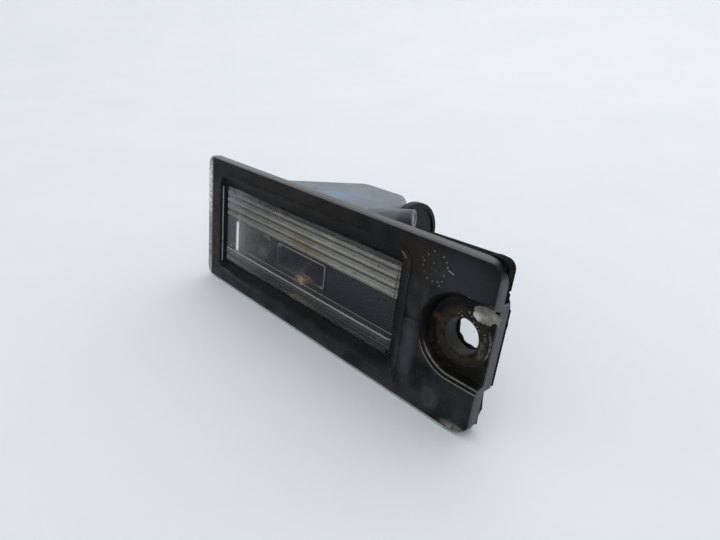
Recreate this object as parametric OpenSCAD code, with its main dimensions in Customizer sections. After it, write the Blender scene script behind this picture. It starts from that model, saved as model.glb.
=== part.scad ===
// Number plate lamp: a black bezel with a ribbed lens, held by one screw,
// and a grey body behind it that holds a wedge bulb in a twist-lock holder.
// Every sub-part is drawn from the lower left corner of the bezel's front
// face: X to the right along the bezel, Y back into the car, Z up.
// place() then moves the origin to the screw hole, on the face that the
// gasket seats on.

/* [Bezel plate] */
// Width of the bezel plate
plate_w = 93.7; // [92:0.1:100]
// Height of the bezel plate
plate_h = 34.8; // [34.4:0.1:38]
// Thickness of the bezel plate
plate_t = 2.4; // [2.1:0.1:3]
// Corner radius at the left end
left_corner_r = 2.4; // [1.5:0.1:4]
// Corner radius at the screw end
right_corner_r = 4.4; // [2:0.1:6]
// Rounding along the front edge
front_edge_r = 0.5; // [0.3:0.1:1.2]

/* [Window] */
// Left end of the lens opening, from the left end of the bezel
window_x = 8.2; // [8:0.1:9]
// Flat land between the lens opening and the screw pocket
window_land = 7.0; // [6.6:0.1:9]
// Lower edge of the lens opening, from the lower edge of the bezel
window_z = 6.3; // [6.2:0.1:7]
// Upper edge of the lens opening, from the upper edge of the bezel
window_top = 6.8; // [6.4:0.1:8]
// Depth of the lens face below the face of the bezel
window_d = 1.3; // [0.8:0.1:1.5]
// Width of the sloping left wall of the window
slope_left = 1.2; // [0.6:0.1:2]
// Width of the sloping right wall of the window
slope_right = 2.6; // [1:0.1:3]
// Width of the sloping upper wall of the window
slope_top = 2.6; // [1:0.1:3]
// Width of the sloping lower wall of the window
slope_bottom = 2.2; // [1:0.1:2.6]
// Height of the bead round the window
bead_h = 0.3; // [0.1:0.1:0.6]
// Width of the bead round the window
bead_w = 0.7; // [0.4:0.1:1]

/* [Screw pocket] */
// Screw axis, from the screw end of the bezel
screw_from_end = 6.46; // [6:0.02:7]
// Screw axis, from the lower edge of the bezel
screw_z = 18.6; // [16:0.1:19]
// Radius of the screw hole
screw_hole_r = 3.45; // [2.5:0.05:3.8]
// Radius of the pocket at its lip
pocket_r = 8.5; // [8:0.1:8.8]
// Bevel along the lip of the pocket
pocket_lip = 0.6; // [0.3:0.1:0.8]
// Slope of the pocket wall below the lip
pocket_slope = 0.5; // [0.2:0.1:0.8]
// Depth of the pocket below the face of the bezel
pocket_d = 2.3; // [1.8:0.1:2.8]
// Thickness of the pocket floor
pocket_floor_t = 2.3; // [1.8:0.1:3]
// Radius of the raised seat under the screw head
seat_r = 5.8; // [4.6:0.1:6.2]
// Height of the raised seat
seat_h = 0.3; // [0.2:0.1:0.8]
// Wall of the boss round the foot of the pocket, behind the plate
boss_wall = 1.2; // [1:0.1:1.4]
// Radius of the collar that stops the gasket from being crushed
collar_r = 4.6; // [4.4:0.1:5.2]
// Height of that collar
collar_h = 0.6; // [0.4:0.1:1.2]

/* [Bezel skirt] */
// Skirt's inside beyond the lens opening, at each end
skirt_end = 3.2; // [3:0.1:3.5]
// Skirt's inside below the lens opening
skirt_below = 2.1; // [2:0.1:2.2]
// Skirt's inside above the lens opening
skirt_above = 2.6; // [2.4:0.1:2.8]
// Wall of the skirt
skirt_wall = 1.2; // [0.9:0.1:1.4]
// How far the skirt reaches behind the face of the bezel
skirt_back = 8.5; // [8:0.1:9]
// Width of the hook at the left end
hook_w = 8; // [5:0.5:12]
// Thickness of the hook
hook_t = 1.8; // [1.2:0.1:2.4]
// Gap between the plate and the hook, for gasket and body panel
hook_gap = 3.3; // [2.8:0.1:3.8]
// How far the hook stands out of the skirt
hook_reach = 3.2; // [2:0.1:3.6]
// Width of the slots for the body's snaps
snap_w = 6; // [4:0.5:8]

/* [Lens] */
// Thickness of the lens pane
lens_t = 2.0; // [1.6:0.1:2.6]
// Thickness of the flange round the lens
lens_flange_t = 1.2; // [1:0.1:1.5]
// Height of the upper band of flutes
flute_band_upper = 7.7; // [6:0.1:9]
// Flutes in the upper band
flutes_upper = 4; // [2:1:6]
// Height of the lower band of flutes
flute_band_lower = 4.2; // [3:0.1:5]
// Flutes in the lower band
flutes_lower = 2; // [1:1:3]
// How far a flute stands out of the pane
flute_h = 0.5; // [0.2:0.05:0.7]
// Plain strip of pane above the upper flutes
flute_top = 0.7; // [0.2:0.1:1]
// Plain strip of pane at each end of the flutes
flute_end = 0.7; // [0.4:0.1:1.5]

/* [Lamp body] */
// Wall of the light box
box_wall = 1.5; // [1.2:0.1:1.8]
// Depth of the light box
box_d = 5.3; // [5:0.1:6]
// Left foot of the dome, from the left end of the skirt's inside
dome_in = 9.3; // [8:0.1:12]
// Underside of the dome, above the lower edge of the skirt's inside
dome_up = 0.8; // [0.6:0.1:1.2]
// Top of the dome, below the upper edge of the skirt's inside, or above it if negative
dome_down = -0.15; // [-0.3:0.05:0.3]
// How far the dome's left flank leans in over its depth
dome_lean = 12.4; // [10:0.1:13]
// Cut corner at the dome's rear right
dome_cut = 8.6; // [7:0.1:12]
// Rounding of the dome's upper and lower edges
dome_edge_r = 2.0; // [1:0.1:2.4]
// Rounding of the dome's corners, seen from above
dome_corner_r = 4.4; // [4.2:0.1:5]
// How far the bulb holder's turret stands out of the dome's end wall
turret_out = 0.1; // [0.1:0.1:0.6]
// Wall of the dome
dome_wall = 1.7; // [1.3:0.1:2.0]

/* [Vent spigot] */
// Outer radius of the spigot
spigot_r = 2.2; // [1.8:0.1:2.2]
// Radius of the hole in the spigot
spigot_hole_r = 1.3; // [0.8:0.1:1.4]
// Length of the spigot outside the dome
spigot_l = 9.0; // [6:0.1:10]
// Turn of the spigot, from the length of the bezel towards the back
spigot_turn = 25.4; // [20:0.1:30]
// Rise of the spigot
spigot_rise = 8; // [0:0.5:10]
// Root of the spigot behind the back of the light box
spigot_in = 5.8; // [4:0.1:6.2]
// Root of the spigot below the top of the dome
spigot_down = 1.55; // [1.2:0.05:2.4]
// Length of the fairing at the spigot's root
fairing_l = 4.6; // [3:0.1:5]

/* [Reflector] */
// Left end of the small opening in the reflector, from the lens opening
eye_in = 16.0; // [12:0.1:18]
// Length of the small opening
eye_w = 19.0; // [12:0.1:20]
// Lower edge of the small opening, above the lens opening's lower edge
eye_up = 3.3; // [1.5:0.1:4]
// Height of the small opening
eye_h = 5.8; // [4:0.1:6]
// Rim round the small opening
eye_rim = 0.5; // [0.3:0.1:0.8]

/* [Bulb holder] */
// Bulb axis behind the root of the spigot
bulb_off = 11.4; // [11:0.1:13]
// Bulb axis in front of the back of the dome
bulb_in = 8.7; // [8.2:0.1:9]
// Bulb axis below the top of the dome
bulb_down = 7.65; // [7.6:0.05:8]
// Radius of the holder's barrel
barrel_r = 5.8; // [5.7:0.05:5.9]
// Length of the barrel inside the dome
barrel_l = 9.8; // [9:0.1:12]
// Room between the bulb's tip and the dome's left flank
glass_room = 1.2; // [1:0.1:3]
// Wall of the turret that the barrel turns in
turret_wall = 1.6; // [1.5:0.05:1.7]
// Length of the turret's narrow mouth
mouth_l = 6; // [5:0.1:6.5]
// Radius of the holder's flange
flange_r = 9.0; // [8.6:0.1:9.2]
// Thickness of the flange
flange_t = 1.4; // [1.2:0.1:2]
// Height of the rim round the flange
flange_rim_h = 0.4; // [0.3:0.1:0.8]
// Width of the rim round the flange
flange_rim_w = 1.0; // [0.6:0.1:1.6]
// Height of the bayonet lugs above the barrel
lug_h = 0.9; // [0.7:0.1:1]
// Width of a bayonet lug
lug_w = 3.2; // [2:0.1:4]

/* [Connector] */
// Inside width of the connector shroud
shroud_w = 9.0; // [8.6:0.1:9.4]
// Inside height of the connector shroud
shroud_h = 5.6; // [5.4:0.1:5.8]
// Wall of the shroud
shroud_wall = 0.9; // [0.8:0.1:1.1]
// Length of the shroud
shroud_l = 12.5; // [11:0.1:15]
// Middle of the shroud behind the bulb axis (negative is in front)
shroud_dy = -0.6; // [-1:0.1:0]
// Middle of the shroud above the bulb axis (negative is below)
shroud_dz = -3.4; // [-3.6:0.1:-3.2]
// Free length of the pins
pin_l = 6.5; // [5:0.1:7]
// Distance between the two pins
pin_pitch = 4.6; // [4:0.1:5]
// Width of a pin
pin_w = 1.5; // [1:0.1:2]
// Thickness of the contact sheet
contact_t = 0.5; // [0.4:0.05:0.6]

/* [Bulb] */
// Radius of the bulb's glass
glass_r = 5.0; // [4.6:0.05:5.1]
// Length of the bulb's glass, from tip to pinch
glass_l = 15.5; // [14:0.1:18]
// Wall of the glass
glass_wall = 0.6; // [0.5:0.05:0.8]
// Length of the pinched base inside the holder
base_l = 9.2; // [8.6:0.1:9.4]
// Width of the pinched base
base_w = 8.8; // [8.6:0.1:9]
// Thickness of the pinched base
base_t = 2.4; // [2:0.1:2.6]
// Radius of the lead wires
wire_r = 0.2; // [0.15:0.05:0.3]
// Distance between the lead wires
wire_pitch = 4.6; // [4:0.1:5]
// Filament, from the tip of the glass
filament_in = 8; // [6:0.5:10]

/* [Seals and gasket] */
// Thickness of the gasket sheet
gasket_t = 2.0; // [1.4:0.1:2.4]
// Thickness of the gasket pad behind the screw boss
gasket_pad_t = 1.5; // [1.2:0.1:2]
// How far the gasket has crept up past the bezel at its end
gasket_up = 0.25; // [0.1:0.05:0.6]
// Gasket edge inside the edge of the bezel
gasket_inset = 0.3; // [0:0.1:0.8]
// Radius of the gasket's torn hole
gasket_hole_r = 3.35; // [2.6:0.05:3.4]
// Thickness of the seal in front of the lens flange
lens_seal_t = 0.6; // [0.4:0.1:0.8]
// Thickness of the seal behind the lens flange
body_seal_t = 0.7; // [0.4:0.1:0.8]
// Thickness of the seal under the holder's flange
holder_seal_t = 0.6; // [0.5:0.1:1.2]

/* [Clearances] */
// Gap between parts that are pushed into each other
fit_gap = 0.2; // [0.1:0.05:0.25]
// Gap round the barrel of the bulb holder
turn_gap = 0.15; // [0.1:0.05:0.2]
// Gap between the barrel and the round part of the bulb
neck_gap = 0.4; // [0.2:0.1:0.6]
// Gap round wires and pins
wire_gap = 0.05; // [0.02:0.01:0.1]

/* [Hidden] */
$fn = 48;
// Overshoot of a cut, past the face that it opens
cut = 1;
// Points on a rounded corner, less one
corner_n = 6;

screw_x = plate_w - screw_from_end;
window_w = screw_x - pocket_r - window_land - window_x;
window_h = plate_h - window_z - window_top;
skirt_x = window_x - skirt_end;
skirt_w = window_w + 2 * skirt_end;
skirt_z = window_z - skirt_below;
skirt_h = window_h + skirt_below + skirt_above;
seat_y = pocket_d + pocket_floor_t;
lens_y = window_d;
flange_y = plate_t + lens_seal_t;
flange_back = flange_y + lens_flange_t;
box_y = flange_back + body_seal_t;
box_back = box_y + box_d;
boss_r = pocket_r - pocket_lip - pocket_slope + boss_wall;
dome_x = skirt_x + dome_in;
dome_z = skirt_z + dome_up;
dome_h = skirt_h - dome_up - dome_down;
dome_top = dome_z + dome_h;
spigot_y = box_back + spigot_in;
bulb_y = spigot_y + bulb_off;
dome_back = bulb_y + bulb_in;
dome_slope = dome_lean / (dome_back - box_back);
bulb_z = dome_top - bulb_down;
glass_x = dome_x + dome_slope * (bulb_y - box_back) + dome_wall + glass_room;
glass_end_x = glass_x + glass_l;
barrel_x = glass_end_x + neck_gap;
holder_x = barrel_x + barrel_l;
turret_x = holder_x - holder_seal_t;
dome_right = turret_x - turret_out;
flange_face_x = holder_x + flange_t;
eye_x = window_x + eye_in;
eye_z = window_z + eye_up;
shroud_y = bulb_y + shroud_dy;
shroud_z = bulb_z + shroud_dz;
base_end_x = barrel_x + base_l;
clip_x = base_end_x + wire_gap;
filament_x = glass_x + filament_in;
snap_y = box_y + 1.2;
snap_l = 1.8;
lug_l = 1.6;

// Moves a part from the bezel's corner to the screw hole
module place() {
    translate([-screw_x, -seat_y, -screw_z]) children();
}

// Outline with rounded corners, drawn smaller by inset. Each corner is
// [x, y, radius], in order round the outline, against the clock.
function unit(v) = v / norm(v);
function xy(p) = [p[0], p[1]];
function corner_arc(before, at, after, inset) =
    let (
        u = unit(xy(before) - xy(at)),
        v = unit(xy(after) - xy(at)),
        half = acos(u * v) / 2,
        centre = xy(at) + unit(u + v) * at[2] / sin(half),
        start = xy(at) + u * at[2] / tan(half) - centre,
        from = atan2(start[1], start[0]),
        turn = 180 - 2 * half
    )
    [for (i = [0:corner_n]) let (a = from + turn * i / corner_n)
        centre + (at[2] - inset) * [cos(a), sin(a)]];
function outline(corners, inset = 0) =
    let (n = len(corners))
    [for (i = [0:n - 1]) each corner_arc(corners[(i + n - 1) % n], corners[i],
        corners[(i + 1) % n], inset)];
function box_corners(x, z, w, h, r) =
    [[x, z, r], [x + w, z, r], [x + w, z + h, r], [x, z + h, r]];

// Skin over a pile of outlines, one at each height
module loft(rings, heights) {
    n = len(rings[0]);
    last = (len(rings) - 1) * n;
    polyhedron(
        points = [for (k = [0:len(rings) - 1]) for (p = rings[k]) [p[0], p[1], heights[k]]],
        faces = concat(
            [[for (j = [0:n - 1]) j]],
            [[for (j = [n - 1:-1:0]) last + j]],
            [for (k = [0:len(rings) - 2]) for (j = [0:n - 1])
                let (a = k * n + j, b = k * n + (j + 1) % n) [a, a + n, b + n, b]]
        )
    );
}

// Plate of an outline in X and Z, from one depth to another
module slab(y0, y1) {
    translate([0, y1, 0]) rotate([90, 0, 0]) linear_extrude(y1 - y0) children();
}

// Frame between two insets of an outline
module frame_slab(y0, y1, corners, inset_out, inset_in) {
    slab(y0, y1) difference() {
        polygon(outline(corners, inset_out));
        polygon(outline(corners, inset_in));
    }
}

// Round bar along Y, and round bar along X
module bar_y(x, z, y0, y1, r, r_end = 0) {
    translate([x, y0, z]) rotate([-90, 0, 0])
        cylinder(h = y1 - y0, r1 = r, r2 = r_end > 0 ? r_end : r);
}

module bar_x(x0, x1, y, z, r) {
    translate([x0, y, z]) rotate([0, 90, 0]) cylinder(h = x1 - x0, r = r);
}

module block(low, high) {
    translate(low) cube(high - low);
}

// Bezel
plate_corners = [[0, 0, left_corner_r], [plate_w, 0, right_corner_r],
    [plate_w, plate_h, right_corner_r], [0, plate_h, left_corner_r]];
skirt_corners = box_corners(skirt_x, skirt_z, skirt_w, skirt_h, 2);
opening_corners = box_corners(window_x, window_z, window_w, window_h, 0.8);
rim_corners = box_corners(window_x - slope_left, window_z - slope_bottom,
    window_w + slope_left + slope_right, window_h + slope_bottom + slope_top, 2.4);

// Plate with a rounded front edge
module plate_blank() {
    steps = [0, 30, 60, 90];
    rings = concat([outline(plate_corners)],
        [for (a = steps) outline(plate_corners, front_edge_r * (1 - cos(a)))]);
    heights = concat([-plate_t], [for (a = steps) -front_edge_r * (1 - sin(a))]);
    rotate([90, 0, 0]) loft(rings, heights);
}

// One stage of the round pocket, which runs out through the screw end
module pocket_stage(y0, r0, y1, r1) {
    bar_y(screw_x, screw_z, y0, y1, r0, r1);
    translate([screw_x, y0, screw_z]) rotate([0, 90, 0]) linear_extrude(plate_w) polygon([
        [-r0, 0], [r0, 0], [r1, y1 - y0], [-r1, y1 - y0]]);
}

// Pocket with a bevelled lip
module pocket() {
    throat = pocket_r - pocket_lip;
    pocket_stage(-cut, pocket_r, 0, pocket_r);
    pocket_stage(0, pocket_r, pocket_lip, throat);
    pocket_stage(pocket_lip, throat, pocket_d, throat - pocket_slope);
}

// Outline of the boss behind the pocket, which runs out at the bezel's end
module boss_outline(grow) {
    r = boss_r + grow;
    intersection() {
        union() {
            translate([screw_x, screw_z]) circle(r);
            translate([screw_x, screw_z - r]) square([plate_w, 2 * r]);
        }
        square([plate_w, plate_h]);
    }
}

// Repeats something at the two places along the bezel that have snaps
module snap_places() {
    for (x = [0.2, 0.8]) translate([skirt_x + x * skirt_w, 0, 0]) children();
}

module bezel() {
    color("#26262a") place() difference() {
        union() {
            difference() {
                union() {
                    plate_blank();
                    frame_slab(-bead_h, cut / 2, rim_corners, -bead_w, 0);
                }
                rotate([90, 0, 0]) loft([outline(opening_corners), outline(opening_corners),
                    outline(rim_corners), outline(rim_corners)],
                    [-plate_t - cut, -window_d, 0, bead_h + cut]);
                slab(plate_t, skirt_back) polygon(outline(skirt_corners));
            }
            frame_slab(plate_t - cut, skirt_back, skirt_corners, -skirt_wall, 0);
            slab(plate_t - cut, seat_y) boss_outline(0);
            bar_y(screw_x, screw_z, seat_y - cut, seat_y + collar_h, collar_r);
            hook();
        }
        difference() {
            pocket();
            bar_y(screw_x, screw_z, pocket_d - seat_h, pocket_d + cut, seat_r);
        }
        bar_y(screw_x, screw_z, -cut, seat_y + collar_h + cut, screw_hole_r);
        snap_slots();
        ejector_mark();
        flow_groove();
    }
}

// Hook that slips behind the edge of the panel's cut-out
module hook() {
    front = plate_t + hook_gap;
    back = front + hook_t;
    root = skirt_x - skirt_wall / 2;
    tip = skirt_x - skirt_wall - hook_reach;
    bevel = 0.6;
    translate([0, 0, screw_z - hook_w / 2]) linear_extrude(hook_w) polygon([
        [root, front], [tip + bevel, front], [tip, front + bevel],
        [tip, front + hook_t / 2], [tip + 1, back], [root, back]]);
}

// Slots that the noses on the lamp body snap into
module snap_slots() {
    snap_places()
        block([-snap_w / 2, snap_y, skirt_z - skirt_wall - cut],
            [snap_w / 2, snap_y + snap_l, skirt_z + skirt_h + skirt_wall + cut]);
}

// Mark of a round ejector pin, with its small pip
module ejector_mark() {
    mark_r = 2.4;
    mark_d = 0.15;
    pip_r = 0.3;
    x = screw_x - 0.4 * pocket_r;
    z = (screw_z - pocket_r) / 2 - pip_r;
    bar_y(x, z, -cut, mark_d, mark_r);
    bar_y(x + pip_r, z - 0.6 * mark_r, 0, mark_d + pip_r, pip_r);
}

// Shallow groove between the window and the screw pocket
module flow_groove() {
    groove_d = 0.4;
    groove_w = 2;
    start = window_x + window_w + slope_right + bead_w;
    block([start, -cut, screw_z - 0.3 * groove_w],
        [screw_x - pocket_r + pocket_lip / 2, groove_d, screw_z + 0.7 * groove_w]);
}

// Lens: a pane with bands of flutes, and a flange behind the bezel
module lens() {
    pane = box_corners(window_x + fit_gap, window_z + fit_gap,
        window_w - 2 * fit_gap, window_h - 2 * fit_gap, 0.8);
    pane_wall = 0.7;
    color([0.80, 0.83, 0.84, 0.5]) place() difference() {
        union() {
            slab(lens_y, flange_back) polygon(outline(pane));
            slab(flange_y, flange_back) polygon(outline(skirt_corners, fit_gap));
            flutes(window_z + window_h - flute_top, -flute_band_upper / flutes_upper, flutes_upper);
            flutes(window_z + fit_gap, flute_band_lower / flutes_lower, flutes_lower);
        }
        slab(lens_y + lens_t, flange_back + cut) polygon(outline(pane, pane_wall));
    }
}

// Row of rounded flutes from z, one every step
module flutes(z, step, count) {
    half = abs(step) / 2;
    r = (half * half + flute_h * flute_h) / (2 * flute_h);
    sweep = asin(half / r);
    arc_n = 6;
    root = 0.3;
    for (i = [0:count - 1])
        translate([window_x + flute_end, lens_y, z + (i + 0.5) * step]) rotate([90, 0, 90])
            linear_extrude(window_w - 2 * flute_end) polygon(concat(
                [for (k = [0:arc_n]) let (a = -sweep + 2 * sweep * k / arc_n)
                    [-flute_h + r * (1 - cos(a)), r * sin(a)]],
                [[root, half], [root, -half]]));
}

// Seal between the bezel and the lens
module lens_seal() {
    seal_w = 1.0;
    color("#1b1b1d") place()
        frame_slab(plate_t, flange_y, skirt_corners, fit_gap, fit_gap + seal_w);
}

// Seal between the lens and the light box
module body_seal() {
    inset = 0.1;
    color("#1b1b1d") place() frame_slab(flange_back, box_y, skirt_corners,
        fit_gap + inset, fit_gap + box_wall - 2 * inset);
}

// Outline of the dome seen from above. It starts inside the light box,
// so that the dome's front corners are hidden in the box.
dome_root = box_d - 0.3;
dome_start = box_back - dome_root;
dome_corners = [
    [dome_x - dome_root * dome_slope, dome_start, dome_corner_r],
    [dome_right, dome_start, dome_corner_r],
    [dome_right, dome_back - dome_cut, dome_corner_r],
    [dome_right - dome_cut, dome_back, dome_corner_r],
    [dome_x + dome_lean, dome_back, dome_corner_r]];

// Dome with rounded edges, drawn smaller by inset on every side
module dome(inset) {
    steps = [0, 30, 60, 90];
    low = dome_z + inset;
    high = dome_top - inset;
    rings = concat(
        [for (a = steps) outline(dome_corners, inset + dome_edge_r * (1 - sin(a)))],
        [for (a = steps) outline(dome_corners, inset + dome_edge_r * (1 - cos(a)))]);
    heights = concat(
        [for (a = steps) low + dome_edge_r * (1 - cos(a))],
        [for (a = steps) high - dome_edge_r * (1 - sin(a))]);
    loft(rings, heights);
}

// Lamp body: light box, dome, turret for the bulb holder and vent spigot
module lamp_body() {
    turret_r = barrel_r + turn_gap + turret_wall;
    turret_start = barrel_x - turret_wall;
    mouth_x = turret_x - mouth_l;
    color("#7d8891") place() difference() {
        union() {
            difference() {
                union() {
                    light_box();
                    rooted_dome();
                }
                slab(box_y - cut, box_back - box_wall)
                    polygon(outline(skirt_corners, fit_gap + box_wall));
                dome(dome_wall);
            }
            bar_x(turret_start, turret_x, bulb_y, bulb_z, turret_r);
            intersection() {
                spigot(spigot_r, -2 * dome_wall, 0);
                block([dome_right - dome_wall, box_y, dome_z], [plate_w, dome_back, plate_h]);
            }
            spigot_fairing();
            body_snaps();
        }
        bar_x(turret_start - cut, turret_x + cut, bulb_y, bulb_z, barrel_r + turn_gap);
        bar_x(turret_start - cut, mouth_x, bulb_y, bulb_z, barrel_r + lug_h + turn_gap);
        lug_slots(mouth_x - cut, turret_x + cut);
        spigot(spigot_hole_r, -3 * dome_wall, cut);
    }
}

// Dome whose root stays within the skirt
module rooted_dome() {
    free = skirt_back + fit_gap;
    intersection() {
        dome(0);
        union() {
            slab(box_y - cut, dome_back + cut) polygon(outline(skirt_corners, fit_gap));
            slab(free, dome_back + cut) square([plate_w, plate_h]);
        }
    }
}

// Light box with a bevelled back
module light_box() {
    bevel = 1.0;
    rings = [outline(skirt_corners, fit_gap + bevel), outline(skirt_corners, fit_gap),
        outline(skirt_corners, fit_gap)];
    rotate([90, 0, 0]) loft(rings, [-box_back, -box_back + bevel, -box_y]);
}

// Round bar along the spigot's axis. Its length runs from the dome's end
// wall, with more at the root and past the tip.
module spigot(r, from, past) {
    translate([dome_right, spigot_y, dome_top - spigot_down]) rotate([0, 90 - spigot_rise, spigot_turn])
        translate([0, 0, from]) cylinder(h = spigot_l - from + past, r = r);
}

// Fairing from the dome's end wall to the middle of the spigot
module spigot_fairing() {
    root_t = 0.5;
    tip_t = 0.1;
    high = dome_top - root_t;
    hull() {
        spigot(spigot_r, fairing_l, fairing_l + tip_t - spigot_l);
        block([dome_right - root_t, spigot_y - 2 * spigot_r, high - 1.5 * spigot_r],
            [dome_right, spigot_y + 0.9 * spigot_r, high]);
    }
}

// Noses that ride over the skirt and snap into its slots
module body_snaps() {
    wall_z = skirt_z + fit_gap;
    nose_l = snap_l - 2 * fit_gap;
    reach = fit_gap + 0.7 * skirt_wall;
    land = 0.5;
    root = 0.3;
    nose = [[0, root], [0, 0], [nose_l - land, -reach], [nose_l, -reach], [nose_l, root]];
    snap_places() for (up = [0, 1])
        translate([-snap_w / 2 + fit_gap, snap_y + fit_gap, up ? wall_z + skirt_h - 2 * fit_gap : wall_z])
            mirror([0, 0, up]) rotate([90, 0, 90]) linear_extrude(snap_w - 2 * fit_gap) polygon(nose);
}

// Ways through the turret for the holder's lugs
module lug_slots(x0, x1) {
    for (a = [0, 120, 240]) translate([x0, bulb_y, bulb_z]) rotate([a + 60, 0, 0])
        translate([0, 0, -lug_w / 2 - turn_gap])
            cube([x1 - x0, barrel_r + lug_h + turn_gap, lug_w + 2 * turn_gap]);
}

// Reflector: a trough behind the lens, with two openings to the dome
module reflector() {
    t = 0.9;
    end_gap = 2 * fit_gap + box_wall;
    x0 = skirt_x + end_gap;
    x1 = skirt_x + skirt_w - end_gap;
    z0 = skirt_z + end_gap;
    z1 = skirt_z + skirt_h - end_gap;
    front = box_y + 0.1;
    back = box_back - box_wall - 0.1;
    r = back - front;
    bar_h = 0.45 * eye_h;
    step = 10;
    section = concat(
        [for (a = [180:-step:90]) [x0 + r + r * cos(a), front + r * sin(a)]],
        [for (a = [90:-step:0]) [x1 - r + r * cos(a), front + r * sin(a)]],
        [for (a = [0:step:90]) [x1 - r + (r - t) * cos(a), front + (r - t) * sin(a)]],
        [for (a = [90:step:180]) [x0 + r + (r - t) * cos(a), front + (r - t) * sin(a)]]);
    color("#8f959b") place() difference() {
        union() {
            translate([0, 0, z0]) linear_extrude(z1 - z0) polygon(section);
            block([eye_x - eye_rim, back - t - eye_rim, eye_z - eye_rim],
                [eye_x + eye_w + eye_rim, back - t / 2, eye_z + eye_h + eye_rim]);
        }
        block([eye_x, front, eye_z], [eye_x + eye_w, back + cut, eye_z + eye_h]);
        block([eye_x, front, eye_z + eye_h + bar_h],
            [dome_right - 2 * dome_wall, back + cut, z1 - bar_h / 2]);
    }
}

// Heat shield: a folded sheet between the bulb and the dome's roof
module heat_shield() {
    t = 0.3;
    off_wall = 0.3;
    fold = 2;
    start = bulb_y - 1.6 * glass_r;
    low = bulb_z;
    roof = dome_top - dome_wall - off_wall;
    back = dome_back - dome_wall - off_wall;
    inner = fold + t * tan(22.5);
    color("#c9ccd0") place() translate([glass_x + 0.6 * glass_r, 0, 0]) rotate([90, 0, 90])
        linear_extrude(glass_l - glass_r)
        polygon([[start, roof], [back - fold, roof], [back, roof - fold], [back, low],
            [back - t, low], [back - t, roof - inner], [back - inner, roof - t], [start, roof - t]]);
}

// Vent membrane: a disc inside the spigot, near its tip
module vent_membrane() {
    from_tip = 0.4;
    membrane_t = 0.6;
    color("#d8d8d2") place() difference() {
        spigot(spigot_hole_r, 0, -from_tip);
        spigot(spigot_hole_r + cut, -cut, -from_tip - membrane_t);
    }
}

// Panel gasket: a sheet behind the bezel, with a pad behind the screw boss.
// Its upper edge has crept up past the bezel at the screw end.
module panel_gasket() {
    pad_back = seat_y + gasket_pad_t;
    sheet_back = plate_t + gasket_t;
    side = plate_w - gasket_inset;
    low = 2 * gasket_inset;
    high = plate_h - 4 * gasket_inset;
    gap = 0.1;
    torn = [for (i = [0:23]) let (r = gasket_hole_r - 0.2 + 0.18 * sin(i * 137))
        [screw_x + r * cos(i * 15), screw_z + r * sin(i * 15)]];
    color("#1b1b1d") place() difference() {
        union() {
            slab(plate_t, sheet_back) union() {
                polygon(outline(box_corners(low, low, side - low, high - low, left_corner_r)));
                polygon(outline([[0.7 * plate_w, high - 4, 1], [side, high - 4, 1],
                    [side, plate_h + gasket_up, gasket_t], [0.8 * plate_w, plate_h - gasket_up, 1]]));
            }
            slab(sheet_back - 0.5, pad_back) intersection() {
                polygon(outline(box_corners(low, low, side - low, high - low, left_corner_r)));
                boss_outline(boss_wall / 2);
            }
        }
        slab(plate_t - cut, pad_back + cut) polygon(outline(skirt_corners, -skirt_wall - fit_gap));
        slab(plate_t - cut, seat_y) boss_outline(gap);
        bar_y(screw_x, screw_z, seat_y - cut, seat_y + collar_h + gap, collar_r + gap);
        slab(seat_y, pad_back + cut) polygon(torn);
        gasket_wear(side, sheet_back, pad_back);
    }
}

// Pad pressed thin above the screw, and the corner torn off below it.
// Each point of the tear is in shares of the gasket left below the pad.
module gasket_wear(side, sheet_back, pad_back) {
    high = screw_z + boss_r;
    low = screw_z - boss_r;
    tear = [[-0.02, 0.96], [-0.06, 0.9], [-0.05, 0.75], [-0.02, 0.52], [-0.06, 0.34], [-0.04, -0.2]];
    translate([screw_x, 0, 0]) rotate([90, 0, 90]) linear_extrude(plate_w) polygon([
        [pad_back, high - gasket_t], [sheet_back - 0.2, high + gasket_t],
        [pad_back + cut, high + gasket_t], [pad_back + cut, high - gasket_t]]);
    slab(plate_t - cut, pad_back + cut) polygon(concat(
        [[side + cut, -cut], [side + cut, low]],
        [for (p = tear) [side + p[0] * low, p[1] * low]]));
}

// Bulb holder: barrel with lugs, flange and connector shroud
module bulb_holder() {
    in_w = shroud_w / 2;
    in_h = shroud_h / 2;
    shroud_end = flange_face_x + shroud_l;
    base_gap = 0.15;
    color("#1d1d20") place() difference() {
        union() {
            bar_x(barrel_x, holder_x + cut, bulb_y, bulb_z, barrel_r);
            flange();
            lugs();
            block([flange_face_x - cut, shroud_y - in_w - shroud_wall, shroud_z - in_h - shroud_wall],
                [shroud_end, shroud_y + in_w + shroud_wall, shroud_z + in_h + shroud_wall]);
            latch_nose(shroud_end);
        }
        block([flange_face_x, shroud_y - in_w, shroud_z - in_h],
            [shroud_end + cut, shroud_y + in_w, shroud_z + in_h]);
        block([barrel_x - cut, bulb_y - base_w / 2 - base_gap, bulb_z - base_t / 2 - base_gap],
            [clip_x, bulb_y + base_w / 2 + base_gap, bulb_z + base_t / 2 + base_gap]);
        for (side = [-1, 1]) contact_way(bulb_y + side * pin_pitch / 2);
    }
}

// Three lugs that lock behind the mouth of the turret
module lugs() {
    x0 = turret_x - mouth_l - fit_gap - lug_l;
    intersection() {
        for (a = [0, 120, 240]) translate([x0, bulb_y, bulb_z]) rotate([a, 0, 0])
            translate([0, 0, -lug_w / 2]) cube([lug_l, barrel_r + lug_h + cut, lug_w]);
        bar_x(x0, x0 + lug_l, bulb_y, bulb_z, barrel_r + lug_h);
    }
}

// Flange with a low rim
module flange() {
    difference() {
        bar_x(holder_x, flange_face_x + flange_rim_h, bulb_y, bulb_z, flange_r);
        bar_x(flange_face_x, flange_face_x + flange_rim_h + cut, bulb_y, bulb_z, flange_r - flange_rim_w);
    }
}

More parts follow.
